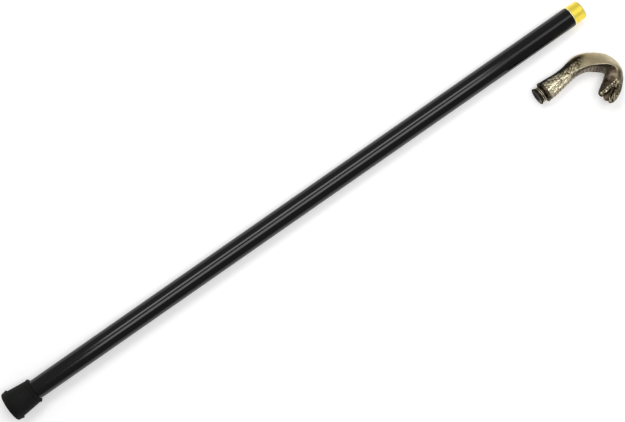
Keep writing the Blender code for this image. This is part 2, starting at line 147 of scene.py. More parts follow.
# Sides of the lower jaw: under side, lip, floor of the mouth, half width.
JAW_STATIONS = (
    ((72.5, -24.5), (79.0, -35.5), (80.0, -37.0), 10.5),
    ((66.8, -28.2), (75.0, -41.0), (74.5, -40.4), 13.4),
    ((62.2, -31.2), (70.0, -43.3), (69.4, -42.0), 12.7),
    ((57.8, -34.1), (64.2, -44.3), (63.6, -42.2), 11.0),
    ((53.6, -36.7), (58.8, -44.7), (58.6, -42.4), 8.5),
    ((51.2, -38.9), (54.6, -44.8), (54.8, -42.8), 5.6),
    ((50.4, -40.4), (52.4, -44.4), (53.0, -43.0), 3.4),
    ((50.3, -41.6), (51.2, -43.4), (51.7, -43.0), 1.5),
)
# Lining between the jaws: middle of each section, half height, half width and how worn it is.
MOUTH_STATIONS = (
    ((52.7, -47.0), 3.0, 2.2, 0.6), ((54.2, -48.0), 4.6, 3.4, 0.52), ((57.0, -49.0), 5.4, 4.8, 0.34),
    ((61.0, -48.2), 5.0, 6.6, 0.3), ((65.0, -46.8), 4.2, 8.2, 0.34), ((69.0, -45.0), 3.4, 9.6, 0.3),
    ((74.0, -42.4), 3.2, 10.0, 0.2),
)
# Lines of beads on the lower lip and at the corner of the mouth, and the eye, nostril, fangs and
# lower teeth of one side.
LIP_LINES = (
    ((70.6, -43.9), (67.0, -44.2), (63.4, -44.3), (59.6, -44.3), (56.8, -44.3), (54.8, -44.1), (53.0, -43.5)),
    ((73.8, -41.3), (71.0, -41.7), (68.0, -41.9), (65.0, -42.1), (61.0, -42.0), (57.0, -42.1), (54.6, -42.1),
     (53.0, -42.0)),
    ((74.2, -44.2), (73.6, -46.9)),
)
BEAD_SPACING = 3.2
BEAD_RADIUS = 1.25
PLATE_ANGLE = 15.0
EYE = (65.0, -56.0)
EYE_RADIUS = 1.35
BROW = (66.4, -58.2)
NOSTRIL = (57.4, -57.4)
FANG_ROOT = Vector((55.7, -56.2, 4.2))
FANG_TIP = Vector((59.9, -49.4, 3.8))
TOOTH_ROOT = -43.2
LOWER_TEETH = ((54.2, 3.0), (57.0, 5.2), (60.4, 7.2), (64.0, 8.8))
MOUTH_CORNER = (68.6, -46.2)

# Shields on top of the head: how far along it and how far from its middle their middles are.
HEAD_SHIELDS = (
    (4, 0), (4, 6), (4, 12), (10, 3.4), (10, 9.5), (16.5, 0), (17, 6.2), (16, 12), (23, 3.2), (24, 8.5),
    (29.5, 0), (30, 5.4), (35, 2.6), (39, 0), (42, 3),
)
CHEEK_ARCS = (3.4, 7.2)
SMOOTH_PLACE = (73.7, -31.0)

# How fine the meshes are, and how large the scales.
BODY_RINGS = 400
BODY_AROUND = 224
JAW_RINGS = 90
JAW_AROUND = 112
LINING_AROUND = 24
SHAFT_RINGS = 60
SCALE_LENGTH = 5.0
SCALE_SHORTENING = 0.045
SCALE_COLUMNS = 20
SCALES_END = 51
SCUTE_LENGTH = 4.6


def smooth_step(low, high, value):
    """0 below low and 1 above high, smooth between them."""
    t = np.clip((value - low) / (high - low), 0.0, 1.0)
    return t * t * (3 - 2 * t)


def window(low, full, fall, high, value):
    """1 from full to fall and 0 outside low and high, smooth between them."""
    return smooth_step(low, full, value) * (1 - smooth_step(fall, high, value))


def bell(distance, width, power=2):
    """1 where the distance is 0, fading over width."""
    return np.exp(-((distance / width) ** power))


def through(table, positions):
    """Values of a table of stations at places between them, along a smooth curve."""
    table = np.array(table, float)
    last = len(table) - 1
    index = np.minimum(positions.astype(int), last - 1)
    t = (positions - index)[:, None]
    start = table[index]
    end = table[index + 1]
    slope_start = (end - table[np.maximum(index - 1, 0)]) / 2
    slope_end = (table[np.minimum(index + 2, last)] - start) / 2
    return ((2 * t**3 - 3 * t**2 + 1) * start + (t**3 - 2 * t**2 + t) * slope_start
            + (3 * t**2 - 2 * t**3) * end + (t**3 - t**2) * slope_end)


def even_positions(table, count):
    """Places along a table of stations that are evenly spaced along its middle line."""
    fine = np.linspace(0, len(table) - 1, 40 * len(table))
    middle = through(table, fine)[:, 2:4]
    run = np.concatenate(([0.0], np.cumsum(np.linalg.norm(np.diff(middle, axis=0), axis=1))))
    even = np.linspace(0, run[-1], count)
    return np.interp(even, run, fine), even


def section_grid(table, count, around):
    """Points of a body swept through stations of back, middle, belly, half width and sharpness."""
    positions, run = even_positions(table, count)
    values = through(table, positions)
    back, middle, belly = values[:, 0:2], values[:, 2:4], values[:, 4:6]
    width, sharp = values[:, 6], values[:, 7]
    angle = np.arange(around) * math.tau / around
    reach = np.cos(angle)[None, :]
    side = np.where((reach > 0)[..., None], (back - middle)[:, None, :], (belly - middle)[:, None, :])
    flat = middle[:, None, :] + side * (np.abs(reach) ** sharp[:, None])[..., None]
    across = width[:, None] * np.sin(angle)[None, :]
    return np.concatenate((flat, across[..., None]), axis=2), run, angle, positions


def grid_normals(points):
    """Outward unit normals of a closed tube of points."""
    along = np.gradient(points, axis=0)
    round_it = np.roll(points, -1, axis=1) - np.roll(points, 1, axis=1)
    normal = np.cross(along, round_it)
    length = np.linalg.norm(normal, axis=2, keepdims=True)
    normal = normal / np.maximum(length, 1e-9)
    outward = np.sum(normal * (points - points.mean(axis=1, keepdims=True)), axis=2).mean()
    return normal if outward > 0 else -normal


def grid_uvs(s, angle):
    return np.stack(np.broadcast_arrays(s / 100, angle[None, :] / math.tau), axis=-1)


def tube_faces(rings, around, start_cap=True, end_cap=True):
    """Faces of a tube whose points are numbered ring by ring."""
    ring = np.arange(rings - 1)[:, None] * around
    k = np.arange(around)[None, :]
    after = (k + 1) % around
    faces = np.stack((ring + k, ring + after, ring + around + after, ring + around + k), axis=-1)
    faces = faces.reshape(-1, 4).tolist()
    if start_cap:
        faces.append(list(range(around)))
    if end_cap:
        faces.append(list(range((rings - 1) * around, rings * around)))
    return faces


def linked(name, data):
    """A new object of the scene with its mesh, lamp or camera."""
    obj = bpy.data.objects.new(name, data)
    bpy.context.scene.collection.objects.link(obj)
    return obj


def store_tones(mesh, tones):
    layer = mesh.attributes.new("tone", "FLOAT_COLOR", "POINT")
    layer.data.foreach_set("color", np.asarray(tones, np.float32).ravel())


def face_outwards(mesh, merge=0.0):
    """Turn the faces outwards, after points closer than merge have become one."""
    bm = bmesh.new()
    bm.from_mesh(mesh)
    if merge:
        bmesh.ops.remove_doubles(bm, verts=bm.verts, dist=merge)
    bmesh.ops.recalc_face_normals(bm, faces=bm.faces)
    bm.to_mesh(mesh)
    bm.free()


def finished(name, verts, faces, matrix, mat, tones=None, uvs=None):
    """A mesh object in the row frame, facing outwards, with its tones as a point attribute."""
    mesh = bpy.data.meshes.new(name)
    mesh.from_pydata(verts, [], faces)
    if tones is not None:
        store_tones(mesh, tones)
    if uvs is not None:
        corner = np.zeros(len(mesh.loops), int)
        mesh.loops.foreach_get("vertex_index", corner)
        mesh.uv_layers.new(name="UVMap").data.foreach_set("uv", np.asarray(uvs)[corner].ravel())
    face_outwards(mesh)
    mesh.transform(matrix @ Matrix.Scale(MM, 4))
    mesh.shade_smooth()
    mesh.set_sharp_from_angle(angle=math.radians(40))
    mesh.materials.append(mat)
    return linked(name, mesh)


def turned(name, profile, matrix, mat, segments=128):
    """A body of revolution about X from (x, radius) points, closed on the axis or on itself."""
    closed = profile[0][1] > 0
    points = list(profile) + ([profile[0]] if closed else [])
    rings = []
    uvs = []
    run = 0.0
    for k, (x, radius) in enumerate(points):
        if k:
            run += math.dist(points[k - 1], points[k])
        for step in range(segments):
            angle = math.tau * step / segments
            rings.append((x, radius * math.cos(angle), radius * math.sin(angle)))
            uvs.append((run / 100, step / segments))
    faces = tube_faces(len(points), segments, False, False)
    obj = finished(name, rings, faces, Matrix.Identity(4), mat, uvs=uvs)
    face_outwards(obj.data, merge=1e-7)
    obj.data.transform(matrix)
    return obj


def rounded(points, radius, steps=4):
    """A profile with its corners rounded, apart from its ends."""
    smooth = [points[0]]
    for before, corner, after in zip(points, points[1:], points[2:]):
        before, corner, after = Vector(before), Vector(corner), Vector(after)
        reach = min(radius, (before - corner).length / 2.2, (after - corner).length / 2.2)
        start = corner + (before - corner).normalized() * reach
        end = corner + (after - corner).normalized() * reach
        for step in range(steps + 1):
            t = step / steps
            smooth.append(tuple(start * (1 - t) ** 2 + corner * 2 * t * (1 - t) + end * t**2))
    smooth.append(points[-1])
    return smooth


def plug(tree, socket, value):
    """Give a node's input a number or a link."""
    if isinstance(value, bpy.types.NodeSocket):
        tree.links.new(value, socket)
    else:
        socket.default_value = value


def add_node(tree, kind, settings=None, **inputs):
    """A new node. A space in the name of an input is written as a low line."""
    node = tree.nodes.new(kind)
    for key, value in (settings or {}).items():
        setattr(node, key, value)
    for key, value in inputs.items():
        plug(tree, node.inputs[key.replace("_", " ")], value)
    return node


def add_math(tree, operation, *values, clamp=False):
    """The result of a Math node."""
    node = add_node(tree, "ShaderNodeMath", {"operation": operation, "use_clamp": clamp})
    for socket, value in zip(node.inputs, values):
        plug(tree, socket, value)
    return node.outputs[0]


class Surface:
    """A Principled material and short ways to add nodes to it."""

    def __init__(self, name, color, roughness, metallic=0.0):
        self.material = bpy.data.materials.new(name)
        self.material.use_nodes = True
        self.tree = self.material.node_tree
        self.shader = self.tree.nodes["Principled BSDF"]
        self.plug("Base Color", (*color, 1))
        self.plug("Roughness", roughness)
        self.plug("Metallic", metallic)

    def add(self, kind, settings=None, **inputs):
        return add_node(self.tree, kind, settings, **inputs)

    def plug(self, name, value):
        plug(self.tree, self.shader.inputs[name], value)

    def math(self, operation, *values, clamp=False):
        return add_math(self.tree, operation, *values, clamp=clamp)

    def ramp(self, value, stops):
        node = self.add("ShaderNodeValToRGB", Fac=value)
        elements = node.color_ramp.elements
        while len(elements) < len(stops):
            elements.new(0.5)
        for element, (place, color) in zip(elements, stops):
            element.position = place
            element.color = (*color, 1) if len(color) == 3 else (*color * 3, 1)
        return node.outputs["Color"]

    def mix(self, factor, first, second):
        node = self.add("ShaderNodeMix", {"data_type": "RGBA"}, Factor=factor)
        colors = [s for s in node.inputs if s.type == "RGBA"]
        for socket, value in zip(colors, (first, second)):
            plug(self.tree, socket, value if isinstance(value, bpy.types.NodeSocket) else (*value, 1))
        return [s for s in node.outputs if s.type == "RGBA"][0]

    def tones(self):
        """The three channels of the tone attribute."""
        tone = self.add("ShaderNodeAttribute", {"attribute_name": "tone"})
        return self.add("ShaderNodeSeparateColor", Color=tone.outputs["Color"]).outputs[:3]

    def noise(self, vector, scale, detail=2.0, roughness=0.5):
        return self.add("ShaderNodeTexNoise", Vector=vector, Scale=scale, Detail=detail,
                        Roughness=roughness).outputs["Fac"]

    def stretched(self, source, scale):
        """Object or UV coordinates scaled for a pattern."""
        coordinates = self.add("ShaderNodeTexCoord")
        mapping = self.add("ShaderNodeMapping", Vector=coordinates.outputs[source])
        mapping.inputs["Scale"].default_value = scale
        return mapping.outputs["Vector"]

    def bump(self, height, strength, distance, normal=None):
        node = self.add("ShaderNodeBump", Height=height, Strength=strength, Distance=distance)
        if normal is not None:
            plug(self.tree, node.inputs["Normal"], normal)
        self.plug("Normal", node.outputs["Normal"])
        return node.outputs["Normal"]


def make_rubber(name, level):
    """Black rubber, finely grained. level is how much it shines."""
    rubber = Surface(name, (0.008, 0.0078, 0.0075), 0.7)
    rubber.plug("Specular IOR Level", level)
    place = rubber.stretched("Object", (1, 1, 1))
    fine = rubber.noise(place, 900, 3)
    broad = rubber.noise(place, 60, 3)
    rubber.plug("Base Color", rubber.ramp(broad, ((0.3, (0.0055, 0.0053, 0.0052)),
                                                  (0.7, (0.0098, 0.0094, 0.0091)))))
    rubber.plug("Roughness", rubber.ramp(fine, ((0.3, (0.6,)), (0.7, (0.8,)))))
    rubber.bump(fine, 0.35, 0.0002)
    return rubber.material


def make_lacquer():
    """Black lacquer over wood: faint lines along the stick show in its reflections."""
    lacquer = Surface("black_lacquer", (0.004, 0.0038, 0.0041), 0.1)
    lacquer.plug("Specular IOR Level", 0.35)
    grain = lacquer.noise(lacquer.stretched("UV", (0.6, 60, 1)), 1.0, 3, 0.6)
    hair = lacquer.noise(lacquer.stretched("UV", (1.6, 260, 1)), 1.0, 2)
    lacquer.plug("Base Color", lacquer.ramp(grain, ((0.35, (0.0014, 0.0013, 0.0015)),
                                                    (0.65, (0.003, 0.0028, 0.003)))))
    lacquer.plug("Roughness", lacquer.ramp(grain, ((0.3, (0.06,)), (0.7, (0.15,)))))
    first = lacquer.bump(grain, 0.12, 0.0001)
    lacquer.bump(hair, 0.15, 0.00003, first)
    return lacquer.material


def make_gold():
    """Turned, bright brass: tone marks a painted highlight on the lip and painted shade on the far rim."""
    gold = Surface("polished_brass", (0.97, 0.78, 0.1), 0.45, metallic=0.8)
    lathe = gold.noise(gold.stretched("UV", (260, 3, 1)), 1.0, 3)
    specks = gold.noise(gold.stretched("Object", (1, 1, 1)), 800, 2)
    marks = gold.ramp(specks, ((0.66, (0.0,)), (0.74, (1.0,))))
    pale, painted_rim_shade, _ = gold.tones()
    color = gold.mix(marks, gold.ramp(lathe, ((0.3, (0.96, 0.69, 0.065)), (0.7, (1.0, 0.86, 0.12)))),
                     (0.55, 0.36, 0.04))
    # Painted highlight: the lip is mixed towards pale gold. Painted shade: the far rim is mixed towards dull
    # grey.
    color = gold.mix(pale, color, (1.0, 0.93, 0.5))
    gold.plug("Base Color", gold.mix(painted_rim_shade, color, (0.4, 0.37, 0.2)))
    gold.plug("Roughness", gold.ramp(lathe, ((0.3, (0.4,)), (0.7, (0.52,)))))
    gold.bump(lathe, 0.2, 0.00006)
    return gold.material


def make_aged_brass():
    """Antiqued brass: tone holds the relief with painted highlights and shade in it, how brown the place is
    and how plain it is.
    """
    brass = Surface("aged_brass", (0.4, 0.34, 0.22), 0.36, metallic=0.9)
    relief, brown, plain = brass.tones()
    place = brass.stretched("Object", (1, 1, 1))
    cloud = brass.noise(place, 180, 4, 0.6)
    blotch = brass.noise(place, 420, 3, 0.6)
    grit = brass.noise(place, 1500, 3)
    height = brass.math("ADD", relief, brass.math("MULTIPLY_ADD", cloud, 0.5, -0.25), clamp=True)
    stained = brass.math("ADD", height, brass.math("MULTIPLY_ADD", blotch, 0.9, -0.45), clamp=True)
    # The first tone sets the colour: dark patina in hollows, worn tips, and the painted highlights and
    # painted shade it carries.
    worn = brass.ramp(height, ((0.08, (0.016, 0.012, 0.007)), (0.36, (0.12, 0.095, 0.058)),
                               (0.6, (0.4, 0.345, 0.225)), (0.88, (0.97, 0.9, 0.66))))
    lines = brass.noise(brass.stretched("UV", (2, 150, 1)), 1.0, 2)
    streaked = brass.math("MULTIPLY_ADD", lines, 0.5, brass.math("MULTIPLY", cloud, 0.5))
    streaked = brass.math("ADD", streaked, brass.math("SUBTRACT", relief, 0.6))
    satin = brass.ramp(streaked, ((0.05, (0.2, 0.16, 0.09)), (0.5, (0.49, 0.41, 0.26)),
                                  (0.95, (0.82, 0.73, 0.54))))
    browned = brass.ramp(stained, ((0.1, (0.018, 0.013, 0.008)), (0.5, (0.14, 0.104, 0.068)),
                                   (0.95, (0.5, 0.42, 0.29))))
    brass.plug("Base Color", brass.mix(brown, brass.mix(plain, worn, satin), browned))
    brass.plug("Roughness", brass.ramp(height, ((0.1, (0.62,)), (0.55, (0.42,)), (0.95, (0.27,)))))
    first = brass.bump(brass.math("MULTIPLY", lines, plain), 0.5, 0.00012)
    brass.bump(grit, 0.2, 0.00004, first)
    return brass.material


def make_steel():
    """Dark, blotchy steel."""
    steel = Surface("dark_steel", (0.05, 0.048, 0.045), 0.6, metallic=1.0)
    place = steel.stretched("Object", (1, 1, 1))
    blotch = steel.noise(place, 1200, 2)
    steel.plug("Base Color", steel.ramp(blotch, ((0.3, (0.009, 0.0085, 0.008)),
                                                 (0.7, (0.028, 0.026, 0.023)))))
    steel.bump(blotch, 0.2, 0.00005)
    return steel.material


def shingles(rows, angle, columns):
    """Height, 0 to 1, and shade of overlapping scales with their free ends towards the shoulder."""
    shape = np.broadcast_shapes(rows.shape, angle.shape)
    height = np.zeros(shape)
    shade = np.full(shape, 0.5)
    width = math.tau / columns
    for step in (-1, 0, 1, 2):
        row = np.floor(rows) + step
        column = angle / width + 0.5 * (row % 2)
        chance = (np.sin(row * 12.9898 + np.floor(column) % columns * 78.233) * 43758.5453) % 1.0
        along = (rows - row - 0.5) / (1.1 + 0.15 * chance)
        across = 2 * (column % 1.0) - 1
        tip = np.sqrt(np.clip(1 - across**2, 0, 1))
        scale = 0.72 - 0.5 * along - 0.22 * across**2 + 0.16 * (chance - 0.5)
        scale = np.where((along > -tip) & (along < 1.6), scale, 0)
        shade = np.where(scale > height, chance, shade)
        height = np.maximum(height, scale)
    return height / 1.3, shade


def scale_rows(run):
    """Number of rows of scales up to a place: they shorten towards the hood."""
    return -np.log(1 - SCALE_SHORTENING * np.minimum(run, 62) / SCALE_LENGTH) / SCALE_SHORTENING


def cells(first, second, seeds):
    """How much further away the second nearest seed is than the nearest: 0 on a border."""
    distances = np.stack([np.hypot(first - a, second - b) for a, b in seeds])
    distances.sort(axis=0)
    return distances[1] - distances[0]


def carve_handle():
    """The cast cobra: neck, hood and upper head, with its relief and its tones."""
    table = [(*back, *widest, *belly, width, sharp)
             for back, widest, belly, width, sharp in BODY_STATIONS + HEAD_STATIONS]
    points, run, angle, positions = section_grid(table, BODY_RINGS, BODY_AROUND)
    normals = grid_normals(points)
    s = run[:, None]
    place = positions[:, None]
    from_back = np.degrees(np.abs((angle + math.pi) % math.tau - math.pi))[None, :]
    x, y = points[..., 0], points[..., 1]
    side = np.abs(points[..., 2])

    # Overlapping scales on the neck's back and sides, apart from a pale stripe along the back.
    scale_end = SCALES_END + 7 * np.cos(np.radians(from_back))
    on_sides = 1 - smooth_step(140, 148, from_back)
    scaled = (1 - smooth_step(scale_end - 5, scale_end + 4, s)) * on_sides * smooth_step(2.6, 3.4, s)
    pale_back = smooth_step(36, 45, s) * (1 - smooth_step(26, 36, from_back))
    scaled = scaled * (1 - pale_back)
    wander = 0.09 * np.sin(0.33 * s + 2.1) * np.sin(3 * angle[None, :] + 0.17 * s)
    scales, shade = shingles(scale_rows(s) + 2.2 * wander, angle[None, :] + wander, SCALE_COLUMNS)

    # Plates across the belly, and the rim and folds of the hood.
    head = smooth_step(13.6, 14.8, place)
    hood = window(3.6, 6.0, 13.6, 15.0, place)
    scute = (s / SCUTE_LENGTH) % 1.0
    on_belly = smooth_step(144, 152, from_back) * (1 - smooth_step(13.8, 15.0, place))
    on_belly = on_belly * smooth_step(2.6, 3.2, s)
    scutes = 1 - scute - 0.9 * bell(scute - 1, 0.07)
    rim = bell(from_back - 90, 4.5) * hood * (1 - smooth_step(11.8, 13.4, place))
    folds = window(97, 101, 132, 140, from_back) * hood * (1 - smooth_step(12.6, 13.8, place))
    fold_lines = 0.5 + 0.5 * np.cos(np.radians(from_back - 97) * 30)

    # Plates round the corner of the mouth and along the upper lip.
    dx, dy = x - MOUTH_CORNER[0], y - MOUTH_CORNER[1]
    reach = np.hypot(dx, dy)
    bearing = np.degrees(np.arctan2(dy, dx)) % 360
    ray = (bearing / PLATE_ANGLE) % 1.0
    ray_distance = np.minimum(ray, 1 - ray) * np.radians(PLATE_ANGLE) * reach
    arcs = np.minimum.reduce([np.abs(reach - r) for r in CHEEK_ARCS])
    facing = smooth_step(0.42, 0.62, side / np.maximum(side.max(axis=1, keepdims=True), 1e-6))
    on_cheek = head * facing * (bearing > 150) * window(1.2, 2.4, 13, 16, reach)
    cheek = np.clip(bell(ray_distance, 0.34) + 0.8 * bell(arcs, 0.36), 0, 1)
    lip_groove = bell(((s - 1.1) / 2.5) % 1.0 - 0.5, 0.16)
    lip_groove = lip_groove * smooth_step(18.6, 19.2, place) * window(52, 60, 92, 96, from_back)

    # Shields on top of the head, mirrored about its middle.
    top_run = s - np.interp(14.0, positions, run)
    border = cells(top_run, side, HEAD_SHIELDS)
    on_top = head * (1 - facing)
    shields = bell(border, 0.5)

    # The eye's socket under its brow, and the nostril.
    eye_reach = np.hypot(x - EYE[0], y - EYE[1])
    brow = np.exp(-((x - BROW[0]) ** 2 + (y - BROW[1]) ** 2) / 6) * head * facing
    socket = bell(eye_reach, 2.3, 4) * head * facing
    nostril = bell(np.hypot(x - NOSTRIL[0], y - NOSTRIL[1]), 0.9, 4) * head

    # The smooth place inside the hood, beside the jaw.
    smooth = np.exp(-((x - SMOOTH_PLACE[0]) ** 2 + (y - SMOOTH_PLACE[1]) ** 2) / 14)
    smooth = smooth * smooth_step(100, 108, from_back)

    # The relief, in millimetres outwards.
    relief = -(0.7 + 0.15 * smooth_step(15, 45, s)) * scaled * (1 - scales)
    relief -= 0.4 * on_belly * (1 - scutes)
    relief += 0.5 * rim - 0.2 * hood
    relief -= 0.35 * folds * fold_lines * (1 - smooth)
    relief -= 0.6 * on_cheek * cheek + 0.3 * on_top * shields + 0.12 * lip_groove
    relief += 0.9 * brow - 0.9 * socket - 1.2 * nostril
    band = bell(s - 2.9, 0.35)
    relief -= 0.5 * band
    points = points + normals * (relief * smooth_step(0.0, 1.0, s))[..., None]

    # The tones: how worn and bright the brass is, with painted highlights and painted shade in it, then how
    # brown, then how plain.
    mouth = smooth_step(15.6, 16.6, place) * smooth_step(96, 108, from_back)
    under = smooth_step(95, 106, from_back)
    # Painted reflection: a dark band along the neck's back stands in for a dark reflection.
    painted_back_reflection = (1 - smooth_step(42, 58, from_back)) * (1 - smooth_step(50, 60, s)) * (1 - pale_back)
    # Painted highlight: a bright band along the neck's flanks, broken into patches.
    painted_side_highlight = window(72, 96, 136, 146, from_back)
    highlight_patches = 0.7 + 0.5 * np.sin(0.31 * s + 4 * angle[None, :] + 3.0)
    painted_side_highlight = painted_side_highlight * (1 - smooth_step(24, 48, s)) * highlight_patches
    far_hood = smooth_step(12.6, 14.2, place)
    # Painted shade: a dark ring at the neck's start, by the shoulder.
    shoulder = 1 - smooth_step(1.8, 2.8, s)
    upper = smooth_step(12, 30, s) * (1 - smooth_step(76, 96, from_back))
    worn = np.clip(1.3 * scales, 0, 1) + 0.24 * (shade - 0.5)
    height = 0.62 + scaled * (worn - 0.84 - 0.04 * smooth_step(18, 36, s) - 0.06 * upper)
    # Here the painted dark band, the painted flank highlight and the painted shoulder shade go into the tone.
    height = height - 0.62 * painted_back_reflection + 0.34 * painted_side_highlight - 0.42 * shoulder
    # The hood's rim is a real ridge; its bright line is a painted highlight.
    height = height + on_belly * (0.24 * scutes - 0.08) + 0.55 * rim - 0.3 * folds * fold_lines * (1 - smooth)
    height = height - (0.12 + 0.2 * smooth_step(9.5, 11, place)) * hood * under
    crossing = bell(place - 13.0, 0.6) * smooth_step(20, 60, from_back) * (1 - under)
    # Painted shade along the head's widest line, where a highlight would fall.
    cheek_edge = bell(from_back - 86, 24) * smooth_step(13.2, 14.4, place)
    height = height - 0.14 * cheek_edge * (1 - smooth_step(15.2, 16.4, place))
    crown = smooth_step(14.8, 16, place) * (1 - smooth_step(24, 50, from_back))
    height = height - 0.06 * crossing - 0.12 * crown - 0.14 * head
    height = height - 0.05 * smooth_step(14.6, 15.6, place) * (1 - under)
    height = height - on_cheek * (0.6 * cheek - 0.14) - 0.35 * on_top * shields
    height = height - 0.5 * socket - 0.5 * nostril - 0.5 * band + 0.2 * brow - 0.4 * mouth
    height = height + 0.3 * head * bell(reach, 3.0) - 0.06 * lip_groove + 0.32 * smooth
    height = height + 0.06 * smooth_step(18.5, 20.5, place)
    height = height - 0.12 * smooth_step(16, 17.5, place) * smooth_step(78, 86, from_back)
    # The shoulder's painted shade is browner as well, and the rim's painted highlight less brown.
    brown = np.clip(under * (0.85 - 0.6 * (s < 60) * scaled) + mouth + 0.5 * shoulder, 0, 1)
    brown = brown * (1 - 0.6 * rim)
    plain = (1 - scaled) * (1 - far_hood) * (1 - smooth_step(84, 92, from_back)) * smooth_step(30, 36, s)
    height = height + plain * (0.32 * smooth_step(46, 94, s) - 0.18 + 0.1 * smooth_step(84, 108, s))
    tones = np.stack([np.clip(height, 0, 1), brown, np.clip(plain, 0, 1), np.ones_like(x)], axis=-1)
    return points, tones, grid_uvs(s, angle)


def carve_jaw():
    """The lower jaw, with rows of scales under it."""
    rows = [(*under, *lip, *floor, width, 1.0) for under, lip, floor, width in JAW_STATIONS]
    points, run, angle, positions = section_grid(rows, JAW_RINGS, JAW_AROUND)
    normals = grid_normals(points)
    s = run[:, None]
    from_under = np.degrees(np.abs((angle + math.pi) % math.tau - math.pi))[None, :]
    place = positions[:, None]
    scales, shade = shingles((45 - s) / 3.4, angle[None, :], 14)
    below = (1 - smooth_step(58, 72, from_under)) * window(0.1, 0.5, 6.2, 6.8, place)
    relief = -0.4 * below * (1 - scales)
    points = points + normals * relief[..., None]
    inside = smooth_step(95, 110, from_under)
    root = 1 - smooth_step(0.9, 1.9, place)
    height = 0.24 + below * (0.4 * scales - 0.2 + 0.3 * (shade - 0.5)) - 0.2 * inside + 0.28 * root
    ones = np.ones_like(height)
    tones = np.stack([np.clip(height, 0, 1), 0.9 * ones, 0 * ones, ones], axis=-1)
    return points, tones, grid_uvs(s, angle)


def blob(centre, axes, rings=10, around=16):
    """Vertices and faces of an ellipsoid. axes are its three half axes as vectors."""
    verts = [Vector(centre) - axes[2]]
    for i in range(1, rings):
        polar = math.pi * i / rings
        for k in range(around):
            turn = math.tau * k / around
            verts.append(Vector(centre) + axes[0] * math.sin(polar) * math.cos(turn)
                         + axes[1] * math.sin(polar) * math.sin(turn) - axes[2] * math.cos(polar))
    verts.append(Vector(centre) + axes[2])
    faces = [(0, 1 + (k + 1) % around, 1 + k) for k in range(around)]
    for i in range(rings - 2):
        low = 1 + i * around
        for k in range(around):
            after = (k + 1) % around
            faces.append((low + k, low + after, low + around + after, low + around + k))
    low = 1 + (rings - 2) * around
    faces += [(low + k, low + (k + 1) % around, len(verts) - 1) for k in range(around)]
    return verts, faces


def horn(root, tip, radius, bend, rings=12, around=14):
    """A tapering, slightly curved tooth from root to tip."""
    direction = (tip - root).normalized()
    first = direction.orthogonal().normalized()
    second = direction.cross(first)
    verts = []
    for i in range(rings):
        t = i / (rings - 1)
        centre = root.lerp(tip, t) + bend * math.sin(math.pi * t)
        size = radius * (1 - t) ** 0.7 + 0.06
        for k in range(around):
            turn = math.tau * k / around
            verts.append(centre + (first * math.cos(turn) + second * math.sin(turn)) * size)
    return verts, tube_faces(rings, around)


def geometry_tree(name, sizes, with_input=False):
    """A geometry tree with named number inputs and a material input called Finish."""
    tree = bpy.data.node_groups.new(name, "GeometryNodeTree")
    if with_input:
        tree.interface.new_socket("Geometry", in_out="INPUT", socket_type="NodeSocketGeometry")
    for label, value in sizes.items():
        kind = "NodeSocketInt" if isinstance(value, int) else "NodeSocketFloat"
        tree.interface.new_socket(label, in_out="INPUT", socket_type=kind).default_value = value
    tree.interface.new_socket("Finish", in_out="INPUT", socket_type="NodeSocketMaterial")
    tree.interface.new_socket("Geometry", in_out="OUTPUT", socket_type="NodeSocketGeometry")
    return tree, tree.nodes.new("NodeGroupInput").outputs


def end_tree(tree, given, geometry, worn, brown, domain="POINT"):
    """Store the tone, make the instances real and give the mesh its material."""
    tone = add_node(tree, "FunctionNodeCombineColor", Red=worn, Green=brown, Blue=0.0)
    stored = add_node(tree, "GeometryNodeStoreNamedAttribute", {"data_type": "FLOAT_COLOR", "domain": domain},
                      Geometry=geometry, Name="tone", Value=tone.outputs[0])
    real = add_node(tree, "GeometryNodeRealizeInstances", Geometry=stored.outputs[0])
    finish = add_node(tree, "GeometryNodeSetMaterial", Geometry=real.outputs[0], Material=given["Finish"])
    tree.links.new(finish.outputs[0], tree.nodes.new("NodeGroupOutput").inputs[0])


def run_tree(tree, mesh, values):
    """The plain mesh that a geometry tree makes from a mesh."""
    obj = linked(tree.name + "_source", mesh)
    modifier = obj.modifiers.new(tree.name, "NODES")
    modifier.node_group = tree
    for item in tree.interface.items_tree:
        if item.in_out == "INPUT" and item.name in values:
            modifier[item.identifier] = values[item.name]
    depsgraph = bpy.context.evaluated_depsgraph_get()
    result = bpy.data.meshes.new_from_object(obj.evaluated_get(depsgraph), depsgraph=depsgraph)
    bpy.data.objects.remove(obj)
    return result


def bead_tree():
    """Beads of uneven size, a little longer along the lines, evenly spaced on lines and turned along them."""
    sizes = {"Spacing": 3.0, "Radius": 1.2, "Length": 1.2, "Smallest": 0.75, "Largest": 1.15, "Wear": 0.7,
             "Seed": 7}
    tree, given = geometry_tree("lip_beads", sizes, True)
    line = add_node(tree, "GeometryNodeMeshToCurve", Mesh=given["Geometry"])
    spaced = add_node(tree, "GeometryNodeCurveToPoints", {"mode": "LENGTH"},
                      Curve=line.outputs[0], Length=given["Spacing"])
    bead = add_node(tree, "GeometryNodeMeshUVSphere", Segments=18, Rings=10, Radius=given["Radius"])
    turn = add_node(tree, "FunctionNodeAlignRotationToVector", {"axis": "X"},
                    Vector=spaced.outputs["Tangent"])
    chance = add_node(tree, "FunctionNodeRandomValue", Seed=given["Seed"])
    tree.links.new(given["Smallest"], chance.inputs[2])
    tree.links.new(given["Largest"], chance.inputs[3])
    width = chance.outputs[1]
    length = add_math(tree, "MULTIPLY", width, given["Length"])
    size = add_node(tree, "ShaderNodeCombineXYZ", X=length, Y=width, Z=width)
    placed = add_node(tree, "GeometryNodeInstanceOnPoints", Points=spaced.outputs[0],
                      Instance=bead.outputs[0], Rotation=turn.outputs[0], Scale=size.outputs[0])
    worn = add_math(tree, "MULTIPLY", width, given["Wear"])
    end_tree(tree, given, placed.outputs[0], worn, 0.0, "INSTANCE")
    return tree


